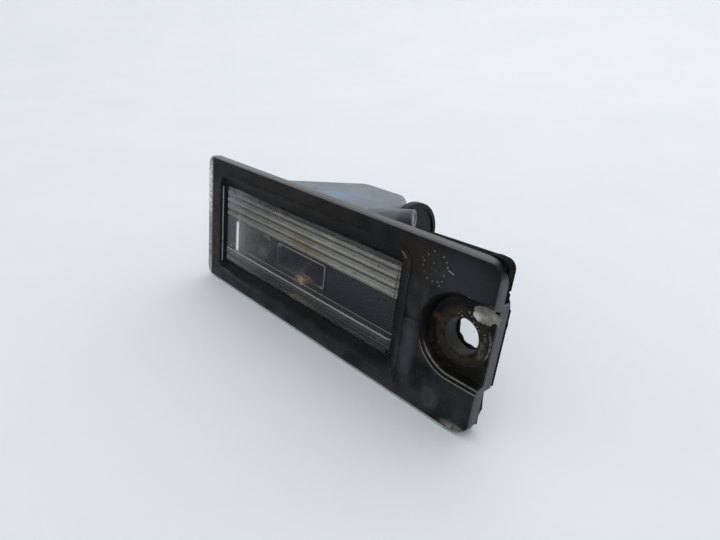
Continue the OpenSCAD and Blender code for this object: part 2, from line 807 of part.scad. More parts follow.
// Way for a contact, from the mouth of the barrel to the shroud
module contact_way(y) {
    half = pin_w / 2 + wire_gap;
    low = shroud_z - contact_t / 2 - wire_gap;
    high = bulb_z + base_t / 2 + contact_t + 2 * wire_gap;
    block([barrel_x - cut, y - half, low], [clip_x + contact_t + wire_gap, y + half, high]);
    block([barrel_x, y - half, low], [flange_face_x + cut, y + half, low + contact_t + 2 * wire_gap]);
}

// Nose under the shroud, which a plug's latch snaps behind
module latch_nose(end) {
    nose_w = 4;
    nose_h = 1.2;
    nose_l = 3.4;
    root = 0.2;
    under = shroud_z - shroud_h / 2 - shroud_wall;
    translate([end - nose_l - nose_h, shroud_y + nose_w / 2, under]) rotate([90, 0, 0])
        linear_extrude(nose_w)
            polygon([[0, root], [0, -nose_h], [nose_h / 2, -nose_h], [nose_l, 0], [nose_l, root]]);
}

// Seal under the flange of the bulb holder
module holder_seal() {
    color("#2a2a2c") place() difference() {
        bar_x(turret_x, holder_x, bulb_y, bulb_z, barrel_r + turret_wall);
        bar_x(turret_x - cut, holder_x + cut, bulb_y, bulb_z, barrel_r + wire_gap);
    }
}

// Contact: a clip on the bulb's base, a riser and a pin in the shroud
module contact(y) {
    reach = base_t / 2 + wire_gap;
    half = pin_w / 2;
    clip_l = 0.6 * base_l;
    pin_z = shroud_z - contact_t / 2;
    color("#b8892f") place() {
        union() {
            for (z = [bulb_z - reach - contact_t, bulb_z + reach])
                block([clip_x - clip_l, y - half, z], [clip_x + contact_t, y + half, z + contact_t]);
            block([clip_x, y - half, pin_z], [clip_x + contact_t, y + half, bulb_z + reach + contact_t]);
            block([clip_x, y - half, pin_z], [flange_face_x + pin_l, y + half, pin_z + contact_t]);
        }
    }
}

module contact_front() {
    contact(bulb_y - pin_pitch / 2);
}

module contact_rear() {
    contact(bulb_y + pin_pitch / 2);
}

// Bulb: glass envelope with a pinched wedge base
module bulb_glass() {
    color([0.9, 0.93, 0.95, 0.4]) place() difference() {
        union() {
            envelope(0);
            block([glass_end_x - 2, bulb_y - base_w / 2, bulb_z - base_t / 2],
                [base_end_x, bulb_y + base_w / 2, bulb_z + base_t / 2]);
        }
        envelope(glass_wall);
        for (side = [-1, 1]) lead_bar(side, wire_r + wire_gap, cut);
    }
}

// Round part of the bulb, drawn smaller by inset
module envelope(inset) {
    r = glass_r - inset;
    x0 = glass_x + inset;
    x1 = glass_end_x - 3 * inset;
    translate([x0, bulb_y, bulb_z]) rotate([0, 90, 0]) rotate_extrude() polygon(concat(
        [for (a = [0:15:90]) [r * sin(a), r * (1 - cos(a))]],
        [for (a = [0:15:75]) [r - 2 * (1 - cos(a)), x1 - x0 - 2 * (1 - sin(a))]],
        [[0, x1 - x0]]));
}

// Bar of a lead wire, at the front (-1) or the rear (1) of the bulb
module lead_bar(side, r, past) {
    bar_x(filament_x - wire_r, base_end_x + past, bulb_y + side * wire_pitch / 2, bulb_z, r);
}

module lead_wire_front() {
    color("#b0b0b4") place() lead_bar(-1, wire_r, 0);
}

module lead_wire_rear() {
    color("#b0b0b4") place() lead_bar(1, wire_r, 0);
}

// Filament between the tips of the lead wires
module filament() {
    reach = wire_pitch / 2 - wire_r;
    color("#9a9a9e") place() bar_y(filament_x, bulb_z, bulb_y - reach, bulb_y + reach, wire_r);
}

bezel();
lens();
lens_seal();
body_seal();
lamp_body();
reflector();
heat_shield();
vent_membrane();
panel_gasket();
bulb_holder();
holder_seal();
contact_front();
contact_rear();
bulb_glass();
lead_wire_front();
lead_wire_rear();
filament();
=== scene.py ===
# %% [markdown]
# # A car's number plate lamp
# The lamp is a black moulded bezel with a ribbed clear lens, held by one screw.
# Behind it are a torn foam gasket, a blue grey body with a vent tube, and a
# bulb holder that turns into the body's end. The CAD model gives every solid.
# This lesson breaks their corners, adds the small things that a casting or a
# moulding carries, and gives each one the finish of its real material.

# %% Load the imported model
import math

import bmesh
import bpy
from mathutils import Matrix, Vector, noise


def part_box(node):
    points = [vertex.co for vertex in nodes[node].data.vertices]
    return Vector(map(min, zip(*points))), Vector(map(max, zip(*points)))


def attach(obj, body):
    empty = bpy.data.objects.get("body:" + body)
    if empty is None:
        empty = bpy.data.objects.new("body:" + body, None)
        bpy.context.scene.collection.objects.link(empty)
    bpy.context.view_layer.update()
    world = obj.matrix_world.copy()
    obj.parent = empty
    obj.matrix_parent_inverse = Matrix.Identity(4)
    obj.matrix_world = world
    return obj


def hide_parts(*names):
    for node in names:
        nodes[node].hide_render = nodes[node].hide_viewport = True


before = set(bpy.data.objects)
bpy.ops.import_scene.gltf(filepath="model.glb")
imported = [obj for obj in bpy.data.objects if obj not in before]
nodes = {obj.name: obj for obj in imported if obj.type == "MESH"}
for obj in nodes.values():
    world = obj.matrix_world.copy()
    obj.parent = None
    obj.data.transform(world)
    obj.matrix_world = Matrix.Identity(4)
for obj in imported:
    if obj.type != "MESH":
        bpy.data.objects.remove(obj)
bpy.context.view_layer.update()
MM = 0.001
BODY = "root"
print("pieces in the packed model:", len(nodes))

# %% [markdown]
# ## Camera
# The photograph looks down on the lamp from its screw end, with a short lens.
# Lens, place and turn were fitted to corners of the bezel whose places in the
# CAD model are known, so the frame of the picture is matched without a shift.

# %% The camera
CAMERA_PLACE = Vector((0.043637, -0.077778, 0.042967))    # in metres, as all of Blender's lengths
CAMERA_RIGHT = Vector((0.6920196, 0.7128117, 0.1140540))
CAMERA_UP = Vector((-0.3342704, 0.1763826, 0.9258253))
LENS_MM = 26.047
FILM_MM = 36

camera = bpy.data.objects.new("camera", bpy.data.cameras.new("camera"))
camera.data.lens = LENS_MM
camera.data.sensor_width = FILM_MM
camera.data.clip_start = 0.005
turn = Matrix((CAMERA_RIGHT, CAMERA_UP, CAMERA_RIGHT.cross(CAMERA_UP))).transposed()
camera.matrix_world = Matrix.Translation(CAMERA_PLACE) @ turn.to_4x4()
bpy.context.scene.collection.objects.link(camera)
bpy.context.scene.camera = camera
print("camera looks along", [round(v, 3) for v in -turn.col[2]])

# %% [markdown]
# ## How the lamp lies
# It rests on the bezel's lower rear edge and on the dome's lower end, so it
# leans back a little. The model keeps the lamp upright, and the floor is tilted
# instead, by the smallest slope that every point of the lamp stays above.

# %% Slope of the floor
BEHIND_EDGE = 8 * MM    # past this, a point may carry the lamp's rear

def resting_slope():
    """Height of the bezel's lower rear edge, its place in Y, and the slope up to the dome."""
    low = min((round(v.co.z, 6), -v.co.y) for v in nodes["bezel"].data.vertices)
    z0, y0 = low[0], -low[1]
    far = [v.co for n in nodes.values() for v in n.data.vertices if v.co.y > y0 + BEHIND_EDGE]
    return z0, y0, min((p.z - z0) / (p.y - y0) for p in far)

floor_z, floor_y, slope = resting_slope()
print("the lamp leans by", round(math.degrees(math.atan(slope)), 2), "degrees")

# %% Colour helper
def paint(code):
    """sRGB hex colour as linear red, green, blue and alpha."""
    parts = [int(code[i:i + 2], 16) / 255 for i in (1, 3, 5)]
    return [c / 12.92 if c <= 0.04045 else ((c + 0.055) / 1.055) ** 2.4 for c in parts] + [1.0]

print("mid grey", [round(c, 3) for c in paint("#808080")])

# %% Node helper
def add(tree, kind, settings=None, links=None):
    """Adds a shader node. Settings are its properties or its sockets' values, links its inputs."""
    made = tree.nodes.new("ShaderNode" + kind)
    for key, value in (settings or {}).items():
        if isinstance(key, str) and hasattr(made, key):
            setattr(made, key, value)
        else:
            made.inputs[key].default_value = value
    for key, source in (links or {}).items():
        tree.links.new(source, made.inputs[key])
    return made

# %% Start and end of a material
def start(name):
    """A new material with its tree and the place on the lamp in millimetres."""
    made = bpy.data.materials.new(name)
    made.use_nodes = True
    tree = made.node_tree
    tree.nodes.clear()
    where = add(tree, "TexCoord")
    place = add(tree, "Mapping", {"Scale": (1000, 1000, 1000)}, {"Vector": where.outputs["Object"]})
    return made, tree, place.outputs["Vector"]

def end(tree, shader):
    """Joins the last shader to the material's output."""
    add(tree, "OutputMaterial", links={"Surface": shader.outputs[0]})

# %% [markdown]
# ## Floor, backdrop and light
# A flat floor would end in a horizon line. Photographers use a cove, a floor that
# curves up into a wall. Here one profile is spun into a wide bowl, so there is no
# line from any side. Light comes from a pale sky and one large soft lamp above.

# %% The cove
COVE_FLAT, COVE_BEND, COVE_TOP = 0.5, 0.6, 1.3    # floor's radius, bend's radius and wall's top, in m

def make_cove():
    """A profile of floor, bend and wall, spun round the vertical and tilted by the slope."""
    bm = bmesh.new()
    flat = [(0.0, 0.0), (COVE_FLAT, 0.0)]
    bend = [(COVE_FLAT + COVE_BEND * math.sin(a), COVE_BEND * (1 - math.cos(a)))
            for a in (math.radians(d) for d in range(6, 91, 6))]
    chain = [bm.verts.new((x, 0, z)) for x, z in flat + bend + [(COVE_FLAT + COVE_BEND, COVE_TOP)]]
    edges = [bm.edges.new(pair) for pair in zip(chain, chain[1:])]
    bmesh.ops.spin(bm, geom=chain + edges, cent=(0, 0, 0), axis=(0, 0, 1), angle=math.tau, steps=72,
                   use_merge=True)
    bmesh.ops.remove_doubles(bm, verts=bm.verts, dist=1e-5)
    bmesh.ops.recalc_face_normals(bm, faces=bm.faces)
    if min(bm.faces, key=lambda f: f.calc_center_median().length).normal.z < 0:
        bmesh.ops.reverse_faces(bm, faces=bm.faces)
    tilt = Matrix.Rotation(math.atan(slope), 4, "X")
    bmesh.ops.transform(bm, matrix=Matrix.Translation((0, floor_y, floor_z)) @ tilt, verts=bm.verts)
    mesh = bpy.data.meshes.new("cove")
    bm.to_mesh(mesh)
    bm.free()
    mesh.shade_smooth()
    return mesh

# %% Painted board
def painted_board():
    """Matt white paint, a little cloudy."""
    made, tree, place = start("matt white paint")
    cloud = add(tree, "TexNoise", {"Scale": 1 / 70, "Detail": 4.0}, {"Vector": place})
    tone = add(tree, "Mix", {"data_type": "RGBA", 6: paint("#eceff2"), 7: paint("#f5f7f8")},
               {0: cloud.outputs["Fac"]})
    end(tree, add(tree, "BsdfPrincipled", {"Roughness": 0.65}, {"Base Color": tone.outputs[2]}))
    return made

cove = bpy.data.objects.new("cove", make_cove())
bpy.context.scene.collection.objects.link(cove)
cove.data.materials.append(painted_board())
print("cove faces:", len(cove.data.polygons))

# %% Light
def soft_light(name, place, aim, size, watts, tint):
    """A large square lamp that faces a point, for light without hard shadows."""
    data = bpy.data.lights.new(name, "AREA")
    data.size, data.energy, data.color = size, watts, tint
    lamp = bpy.data.objects.new(name, data)
    way = (Vector(aim) - Vector(place)).to_track_quat("-Z", "Y")
    lamp.matrix_world = Matrix.Translation(place) @ way.to_matrix().to_4x4()
    bpy.context.scene.collection.objects.link(lamp)

world = bpy.data.worlds.new("pale sky")
bpy.context.scene.world = world
world.use_nodes = True
world.node_tree.nodes["Background"].inputs["Color"].default_value = paint("#f5f7fa")
world.node_tree.nodes["Background"].inputs["Strength"].default_value = 0.92
soft_light("sky above", (-0.25, 0.6, 0.9), (0, 0, 0), 1.2, 3.4, (0.98, 0.99, 1.0))
bpy.context.scene.view_settings.view_transform = "Standard"

# %% [markdown]
# ## Pieces made from the CAD solids
# A CAD solid has knife edges, and no moulding has. Each visible solid is copied,
# its loose triangles are merged and its flat faces joined, and then the corners
# get a narrow bevel. The bevel's faces carry an attribute, so that a material
# can rub them pale where hands and road dirt have worn them.

# %% Groups of sharp edges
def groups_of(edges):
    """Sharp edges in groups that touch, since one short edge limits the bevel of its whole group."""
    left, groups = set(edges), []
    while left:
        stack = [left.pop()]
        group = set(stack)
        while stack:
            for vert in stack.pop().verts:
                for other in vert.link_edges:
                    if other in left:
                        left.discard(other)
                        group.add(other)
                        stack.append(other)
        groups.append(list(group))
    return groups

# %% Copy of a solid with broken corners
def moulded(node, width, sharp=32):
    """A copy of a CAD node whose sharp edges are bevelled by a width in mm."""
    bm = bmesh.new()
    bm.from_mesh(nodes[node].data)
    bmesh.ops.remove_doubles(bm, verts=bm.verts, dist=1e-6)
    bmesh.ops.dissolve_limit(bm, angle_limit=math.radians(0.3), verts=bm.verts, edges=bm.edges)
    worn = bm.faces.layers.float.new("worn")
    keen = [e for e in bm.edges if len(e.link_faces) == 2 and e.calc_face_angle(0) > math.radians(sharp)]
    groups = groups_of(keen)
    for group in groups:
        made = bmesh.ops.bevel(bm, geom=group, offset=width * MM, offset_type="OFFSET", segments=2,
                               profile=0.5, affect="EDGES", clamp_overlap=True, material=-1)
        for face in made["faces"]:
            face[worn] = 1.0
    print(node, "sharp edges:", len(keen), "in", len(groups), "groups")
    return bm

# %% Finished piece
def finish_piece(bm, name, material, slot, *stands_for):
    """Makes a bmesh a smooth shaded piece that may stand for CAD nodes."""
    mesh = bpy.data.meshes.new(name)
    bm.to_mesh(mesh)
    bm.free()
    mesh.shade_smooth()
    piece = bpy.data.objects.new(name, mesh)
    bpy.context.scene.collection.objects.link(piece)
    mesh.materials.append(material)
    even = piece.modifiers.new("even normals", "WEIGHTED_NORMAL")
    even.keep_sharp = True
    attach(piece, BODY)
    if stands_for:
        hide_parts(*stands_for)
    print(name, "has", len(mesh.polygons), "faces")
    return piece

# %% [markdown]
# ## Masks for dirt and wear
# Dirt isn't even: it lies in corners, round the screw and on the ribs. Each
# stain is a mask made of the distance to something on the lamp, roughened by
# noise. All are in millimetres on the lamp, so they keep their place and size.

# %% Soft patch
def patch(tree, place, centre, size, ragged=0.4, grain=1.5, core=0.55):
    """1 inside an ellipsoid with a noisy edge, 0 outside. The grain of the edge is in mm."""
    away = add(tree, "VectorMath", {"operation": "SUBTRACT", 1: centre}, {0: place})
    share = add(tree, "VectorMath", {"operation": "DIVIDE", 1: size}, {0: away.outputs[0]})
    reach = add(tree, "VectorMath", {"operation": "LENGTH"}, {0: share.outputs[0]})
    rough = add(tree, "TexNoise", {"Scale": 1 / grain, "Detail": 4.0}, {"Vector": place})
    torn = add(tree, "Math", {"operation": "MULTIPLY_ADD", 1: 2 * ragged}, {0: rough.outputs["Fac"]})
    tree.links.new(reach.outputs["Value"], torn.inputs[2])
    return add(tree, "MapRange", {"interpolation_type": "SMOOTHSTEP", "From Min": 1 + ragged,
                                  "From Max": core + ragged}, {"Value": torn.outputs[0]}).outputs[0]

# %% Scratch
def scratch(tree, place, begin, finish, width):
    """1 along a straight line between two places, as wide as it says, in mm."""
    along = Vector(finish) - Vector(begin)
    away = add(tree, "VectorMath", {"operation": "SUBTRACT", 1: begin}, {0: place})
    share = add(tree, "VectorMath", {"operation": "DOT_PRODUCT", 1: along / along.length_squared},
                {0: away.outputs[0]})
    held = add(tree, "Clamp", links={"Value": share.outputs["Value"]})
    back = add(tree, "VectorMath", {"operation": "SCALE", 0: along}, {"Scale": held.outputs[0]})
    rest = add(tree, "VectorMath", {"operation": "DISTANCE"}, {0: away.outputs[0], 1: back.outputs[0]})
    return add(tree, "MapRange", {"From Min": width / 2, "From Max": width / 4},
               {"Value": rest.outputs["Value"]}).outputs[0]

# %% Depth inside a rounded rectangle
def inside(tree, place, low, high, corner):
    """Depth in mm inside a rounded rectangle in X and Z, below 0 outside it."""
    centre = [(a + b) / 2 for a, b in zip(low, high)]
    reach = [(b - a) / 2 - corner for a, b in zip(low, high)]
    away = add(tree, "VectorMath", {"operation": "SUBTRACT", 1: (centre[0], 0, centre[1])}, {0: place})
    flat = add(tree, "VectorMath", {"operation": "MULTIPLY", 1: (1, 0, 1)}, {0: away.outputs[0]})
    fold = add(tree, "VectorMath", {"operation": "ABSOLUTE"}, {0: flat.outputs[0]})
    over = add(tree, "VectorMath", {"operation": "SUBTRACT", 1: (reach[0], 0, reach[1])},
               {0: fold.outputs[0]})
    out = add(tree, "VectorMath", {"operation": "MAXIMUM"}, {0: over.outputs[0]})
    far = add(tree, "VectorMath", {"operation": "LENGTH"}, {0: out.outputs[0]})
    part = add(tree, "SeparateXYZ", links={"Vector": over.outputs[0]})
    side = add(tree, "Math", {"operation": "MAXIMUM"}, {0: part.outputs["X"], 1: part.outputs["Z"]})
    near = add(tree, "Math", {"operation": "MINIMUM", 1: 0.0}, {0: side.outputs[0]})
    both = add(tree, "Math", {"operation": "ADD"}, {0: far.outputs["Value"], 1: near.outputs[0]})
    return add(tree, "Math", {"operation": "SUBTRACT", 0: corner}, {1: both.outputs[0]}).outputs[0]

# %% Coats of colour
def coats(tree, under, *layers):
    """Lays colours over one another, each where its mask says and as thick as its cover."""
    for mask, cover, code in layers:
        held = add(tree, "Math", {"operation": "MULTIPLY", 1: cover, "use_clamp": True}, {0: mask})
        under = add(tree, "Mix", {"data_type": "RGBA", 7: paint(code)},
                    {0: held.outputs[0], 6: under}).outputs[2]
    return under

def times(tree, *masks):
    """Product of masks, so that a stain shows only where all of them are."""
    whole = masks[0]
    for mask in masks[1:]:
        whole = add(tree, "Math", {"operation": "MULTIPLY"}, {0: whole, 1: mask}).outputs[0]
    return whole

# %% [markdown]
# ## The bezel: black ABS
# ABS is the usual plastic of trim. This one was injection moulded with a fine
# spark texture, so it shines softly. The outer edge is rounded and rubbed grey,
# and its sides carry painted highlights of the sky, brightest on the left. A grey
# film lies on the face in clouds, partly dirt and partly a painted sheen, with
# brown dust above the window. Round the screw the washer and the road have left
# rings of dirt, which follow the distance to its axis. The window's wall is
# painted near black as shade, and pale lines on the pocket's lower lip are
# painted highlights.

# %% Where things are on the bezel, in mm
PLATE = ((-87.24, -18.6), (6.46, 16.2), 3.2)    # low corner, high corner and rounding, in X and Z
WINDOW = ((-79.04, -12.3), (-15.5, 9.4), 1.2)
FACE_Y = -4.6         # the front face
POCKET_Y = -2.3       # the pocket's floor
POCKET_SIDE = 8.65    # radius of the pocket's side
SLOPE_X = -79.9       # foot of the window's left slope
# Both lists: distance from the screw's axis and the colour there, or, for the lip, where a thin painted
# highlight lies
POCKET_RINGS = ((3.3, "#4c4c4b"), (3.6, "#3f3f3e"), (3.8, "#151411"), (4.4, "#322e24"), (5.2, "#221f19"),
                (5.9, "#1c1a15"), (6.4, "#0a0909"), (7.4, "#0e0d0c"), (9.9, "#0c0b0b"))
LIP_HIGHLIGHTS = ((7.86, "#000000"), (8.0, "#ffffff"), (8.16, "#000000"), (8.52, "#000000"),
             (8.68, "#ffffff"), (8.84, "#000000"))
print("pocket rings:", len(POCKET_RINGS))

# %% Rings by distance
def rings(tree, distance, stops, reach=10.0):
    """Colours by distance in mm, from a list of distances and colours."""
    share = add(tree, "Math", {"operation": "DIVIDE", 1: reach, "use_clamp": True}, {0: distance})
    ramp = add(tree, "ValToRGB", links={"Fac": share.outputs[0]})
    stop = ramp.color_ramp.elements
    while len(stop) < len(stops):
        stop.new(0.5)
    for item, (at, code) in zip(stop, stops):
        item.position, item.color = at / reach, paint(code)
    return ramp.outputs["Color"]

# %% Weathered ABS
def weathered_abs():
    """Moulded ABS with a spark texture: a soft sheen on black, under grey film and brown dirt, with painted
    sheen, highlights and shade.
    """
    made, tree, place = start("weathered black ABS")
    part = add(tree, "SeparateXYZ", links={"Vector": place})
    x, z = part.outputs["X"], part.outputs["Z"]
    cloud = add(tree, "TexNoise", {"Scale": 1 / 9, "Detail": 6.0, "Roughness": 0.6}, {"Vector": place})
    fine = add(tree, "TexNoise", {"Scale": 1 / 1.2, "Detail": 6.0, "Roughness": 0.7}, {"Vector": place})
    black = add(tree, "MapRange", {"From Min": 0.42, "From Max": 0.58}, {"Value": cloud.outputs["Fac"]})
    mottle = add(tree, "MapRange", {"From Min": 0.35, "From Max": 0.65}, {"Value": fine.outputs["Fac"]})
    depth = inside(tree, place, *PLATE)
    edge = add(tree, "MapRange", {"From Min": 0.5, "From Max": 0.3}, {"Value": depth}).outputs[0]
    leftmost = add(tree, "MapRange", {"From Min": -84.7, "From Max": -85.6}, {"Value": x}).outputs[0]
    rightmost = add(tree, "MapRange", {"From Min": 5.9, "From Max": 6.2}, {"Value": x}).outputs[0]
    topmost = add(tree, "MapRange", {"From Min": 15.5, "From Max": 15.9}, {"Value": z}).outputs[0]
    lowest = add(tree, "MapRange", {"From Min": -17.9, "From Max": -18.2}, {"Value": z}).outputs[0]
    frame_in = inside(tree, place, *WINDOW)
    # Near black on the window's wall and just round it: painted shade in the window's recess
    window_shade = add(tree, "MapRange", {"From Min": -2.9, "From Max": -1.4}, {"Value": frame_in}).outputs[0]
    speck = add(tree, "TexNoise", {"Scale": 1 / 0.45, "Detail": 2.0}, {"Vector": place})
    specks = add(tree, "MapRange", {"From Min": 0.68, "From Max": 0.76}, {"Value": speck.outputs["Fac"]})
    smear = add(tree, "TexNoise", {"Scale": 1 / 5, "Detail": 7.0, "Roughness": 0.6, "Distortion": 0.3},
                {"Vector": place})
    grimy = add(tree, "MapRange", {"From Min": 0.5, "From Max": 0.7}, {"Value": smear.outputs["Fac"]})
    # A dull grey film lies in clouds on the black, thinner above the window. It is
    # partly dirt and partly a painted sheen of the sky on the face
    film = add(tree, "MapRange", {"From Min": 0.34, "From Max": 0.74},
               {"Value": smear.outputs["Fac"]}).outputs[0]
    high = add(tree, "MapRange", {"From Min": 8.0, "From Max": 11.0, "To Min": 1.0, "To Max": 0.3},
               {"Value": z}).outputs[0]
    base = add(tree, "Mix", {"data_type": "RGBA", 6: paint("#080808"), 7: paint("#3a393c")},
               {0: times(tree, film, high)}).outputs[2]
    olive = patch(tree, place, (-50, FACE_Y, 13.6), (36, 9, 3.2), 0.6, 3.0, 0.1)
    brown = patch(tree, place, (-12, FACE_Y, 12), (6, 9, 7), 0.6, 3.0, 0.1)
    corner = patch(tree, place, (-1, FACE_Y, 11), (9, 9, 6), 0.5, 5.0, 0.3)
    pale_band = patch(tree, place, (-10.2, FACE_Y, -7), (2.4, 9, 9.5), 0.3, 4.0, 0.2)
    round_spot = patch(tree, place, (-3.3, FACE_Y, -14.4), (2.6, 4, 2.6), 0.15, 1.5, 0.6)
    date_dust = patch(tree, place, (-6.85, FACE_Y, 11.4), (4.4, 2, 4.4), 0.5, 0.8, 0.3)
    low_corner = patch(tree, place, (3.6, -4.4, -17.6), (4.4, 3.0, 1.5), 0.7, 1.2, 0.2)
    tone = coats(tree, base, (grimy.outputs[0], 0.4, "#2a261f"),
                 (times(tree, olive, mottle.outputs[0]), 0.55, "#2e271e"), (brown, 0.6, "#2a221a"),
                 (corner, 0.55, "#39393d"), (pale_band, 0.55, "#47484f"), (round_spot, 0.45, "#48484b"),
                 (times(tree, date_dust, mottle.outputs[0]), 0.4, "#3a362f"),
                 (window_shade, 0.85, "#070709"), (specks.outputs[0], 0.2, "#66655f"),
                 (times(tree, low_corner, mottle.outputs[0]), 0.9, "#b0ada0"))
    # The pocket: distance to the screw's axis, and to its line towards the bezel's end
    level = add(tree, "CombineXYZ", links={"X": x, "Z": z})
    radius = add(tree, "VectorMath", {"operation": "LENGTH"}, {0: level.outputs[0]}).outputs["Value"]
    left = add(tree, "Math", {"operation": "MINIMUM", 1: 0.0}, {0: x})
    track = add(tree, "CombineXYZ", links={"X": left.outputs[0], "Z": z})
    run = add(tree, "VectorMath", {"operation": "LENGTH"}, {0: track.outputs[0]}).outputs["Value"]
    sunk = add(tree, "MapRange", {"From Min": POCKET_SIDE + 0.1, "From Max": POCKET_SIDE - 0.1},
               {"Value": run}).outputs[0]
    shaken = add(tree, "Math", {"operation": "MULTIPLY_ADD", 1: 1.2}, {0: fine.outputs["Fac"], 2: radius})
    settled = add(tree, "Math", {"operation": "SUBTRACT", 1: 0.6}, {0: shaken.outputs[0]})
    wall = rings(tree, settled.outputs[0], POCKET_RINGS)
    earth = add(tree, "Mix", {"data_type": "RGBA", 7: paint("#2a2419")},
                {0: times(tree, mottle.outputs[0], black.outputs[0]), 6: wall}).outputs[2]
    soot = add(tree, "MapRange", {"From Min": 0.52, "From Max": 0.4},
               {"Value": fine.outputs["Fac"]}).outputs[0]
    earth = coats(tree, earth, (soot, 0.7, "#080807"))
    tone = add(tree, "Mix", {"data_type": "RGBA"}, {0: sunk, 6: tone, 7: earth}).outputs[2]
    # Pale broken lines along the pocket's lower lip are painted highlights on its rounded edges, which face
    # up
    low_side = add(tree, "MapRange", {"From Min": -3.5, "From Max": -6.0}, {"Value": z}).outputs[0]
    lip_highlights = add(tree, "SeparateColor", links={"Color": rings(tree, run, LIP_HIGHLIGHTS)}).outputs[0]
    broken = add(tree, "MapRange", {"From Min": 0.3, "From Max": 0.55, "To Min": 0.3},
                 {"Value": fine.outputs["Fac"]}).outputs[0]
    rust = patch(tree, place, (-6.0, POCKET_Y, 1.3), (1.9, 3.0, 0.9), 0.6, 0.8, 0.2)
    grit = patch(tree, place, (4.4, -2.6, -0.4), (0.9, 2.0, 3.4), 0.6, 0.9, 0.2)
    tone = coats(tree, tone, (times(tree, lip_highlights, low_side, broken), 0.85, "#9b998f"), (rust, 0.8, "#4a3220"),
                 (times(tree, grit, mottle.outputs[0]), 0.6, "#7b766a"),
                 (scratch(tree, place, (-4.0, FACE_Y, 11.64), (-2.84, FACE_Y, 11.3), 0.22), 0.8, "#a3a3a0"),
                 (scratch(tree, place, (0.83, FACE_Y, 8.5), (2.99, FACE_Y, 8.05), 0.25), 0.7, "#96948e"))
    # Lines round the window: a painted highlight along the foot of the left slope, a painted glint in the
    # upper corner, a run of dust below
    flat = level.outputs[0]
    slope_highlight = scratch(tree, flat, (SLOPE_X, 0, 9), (SLOPE_X, 0, -12.5), 0.26)
    tone = coats(tree, tone, (times(tree, slope_highlight, broken), 0.8, "#a2a6ab"),
                 (scratch(tree, flat, (-15.2, 0, 11.6), (-14.2, 0, 10.6), 0.3), 0.7, "#a8a8a6"),
                 (scratch(tree, flat, (-80, 0, -14.3), (-64, 0, -15.2), 0.35), 0.35, "#6d6c68"))
    # The plate's four sides, each painted as the light falls on it: a grey band all round, partly wear and
    # partly painted sheen; a painted reflection of the sky over dust on the top side; a near white painted
    # highlight down the left side; a pale line of wear and painted highlight along the bottom; a mid grey
    # painted tone on the right side. The bevels by the outer edge are rubbed pale.
    worn = add(tree, "Attribute", {"attribute_name": "worn"})
    outer = add(tree, "MapRange", {"From Min": 1.6, "From Max": 0.9, "To Min": 0.1}, {"Value": depth})
    rubbed = times(tree, worn.outputs["Fac"], outer.outputs[0], mottle.outputs[0])
    band = add(tree, "MapRange", {"From Min": 0.3, "From Max": 0.62, "To Min": 0.25},
               {"Value": fine.outputs["Fac"]}).outputs[0]
    high_left = patch(tree, place, (-86, -4.4, 7), (5, 9, 10), 0.3, 5.0, 0.3)
    left_highlight_reach = add(tree, "MapRange", {"To Min": 0.5}, {"Value": high_left}).outputs[0]
    fade = add(tree, "MapRange", {"From Min": -75.0, "From Max": -40.0, "To Min": 1.0, "To Max": 0.55},
               {"Value": x}).outputs[0]
    core = add(tree, "MapRange", {"From Min": -87.1, "From Max": -86.8}, {"Value": x}).outputs[0]
    tone = coats(tree, tone, (times(tree, edge, band), 0.5, "#626364"),
                 (times(tree, edge, topmost, fade), 0.8, "#8a8a88"),
                 (times(tree, leftmost, band, core, left_highlight_reach), 1.0, "#ebebe8"),
                 (times(tree, edge, lowest, band), 0.8, "#a3a29b"),
                 (times(tree, edge, rightmost), 0.85, "#58595a"), (rubbed, 0.4, "#a9aaab"))
    grain = add(tree, "TexNoise", {"Scale": 1 / 0.25, "Detail": 2.0}, {"Vector": place})
    bump = add(tree, "Bump", {"Strength": 0.25, "Distance": 0.05 * MM}, {"Height": grain.outputs["Fac"]})
    rough = add(tree, "MapRange", {"To Min": 0.34, "To Max": 0.6}, {"Value": fine.outputs["Fac"]})
    end(tree, add(tree, "BsdfPrincipled", {"IOR": 1.54, "Specular IOR Level": 0.08},
                  {"Base Color": tone, "Roughness": rough.outputs[0], "Normal": bump.outputs[0]}))
    return made

finish_piece(moulded("bezel", 0.14), "bezel_moulding", weathered_abs(), "bezel_plastic", "bezel")

# %% [markdown]
# ## Marks on the bezel
# Moulds carry small marks. Near the window's top corner is a ring of raised
# dots, a few tenths of a millimetre across. Each is a low half ball sunk a
# little into the face, so it is part of the moulding and not stuck on.

# %% Raised dots, their X and Z in mm
DOTS = ((-7.67, 14.16), (-8.85, 13.19), (-10.05, 12.21), (-9.61, 11.77), (-9.77, 10.83), (-9.19, 9.75),
        (-8.37, 8.67), (-7.43, 11.95), (-6.7, 10.66), (-5.56, 13.73), (-4.71, 12.9), (-4.32, 12.09),
        (-4.83, 10.38), (-7.06, 8.56), (-5.96, 8.79), (-5.01, 9.15), (-5.49, 8.18))
DOT_RADIUS, DOT_HEIGHT = 0.21, 0.12

def low_domes(places, radius, height):
    """One mesh of low domes on the bezel's front face, at places in mm."""
    bm = bmesh.new()
    for px, pz in places:
        made = bmesh.ops.create_uvsphere(bm, u_segments=12, v_segments=8, radius=1)
        bmesh.ops.scale(bm, vec=(radius * MM, height * MM, radius * MM), verts=made["verts"])
        bmesh.ops.translate(bm, vec=(px * MM, FACE_Y * MM, pz * MM), verts=made["verts"])
    return bm

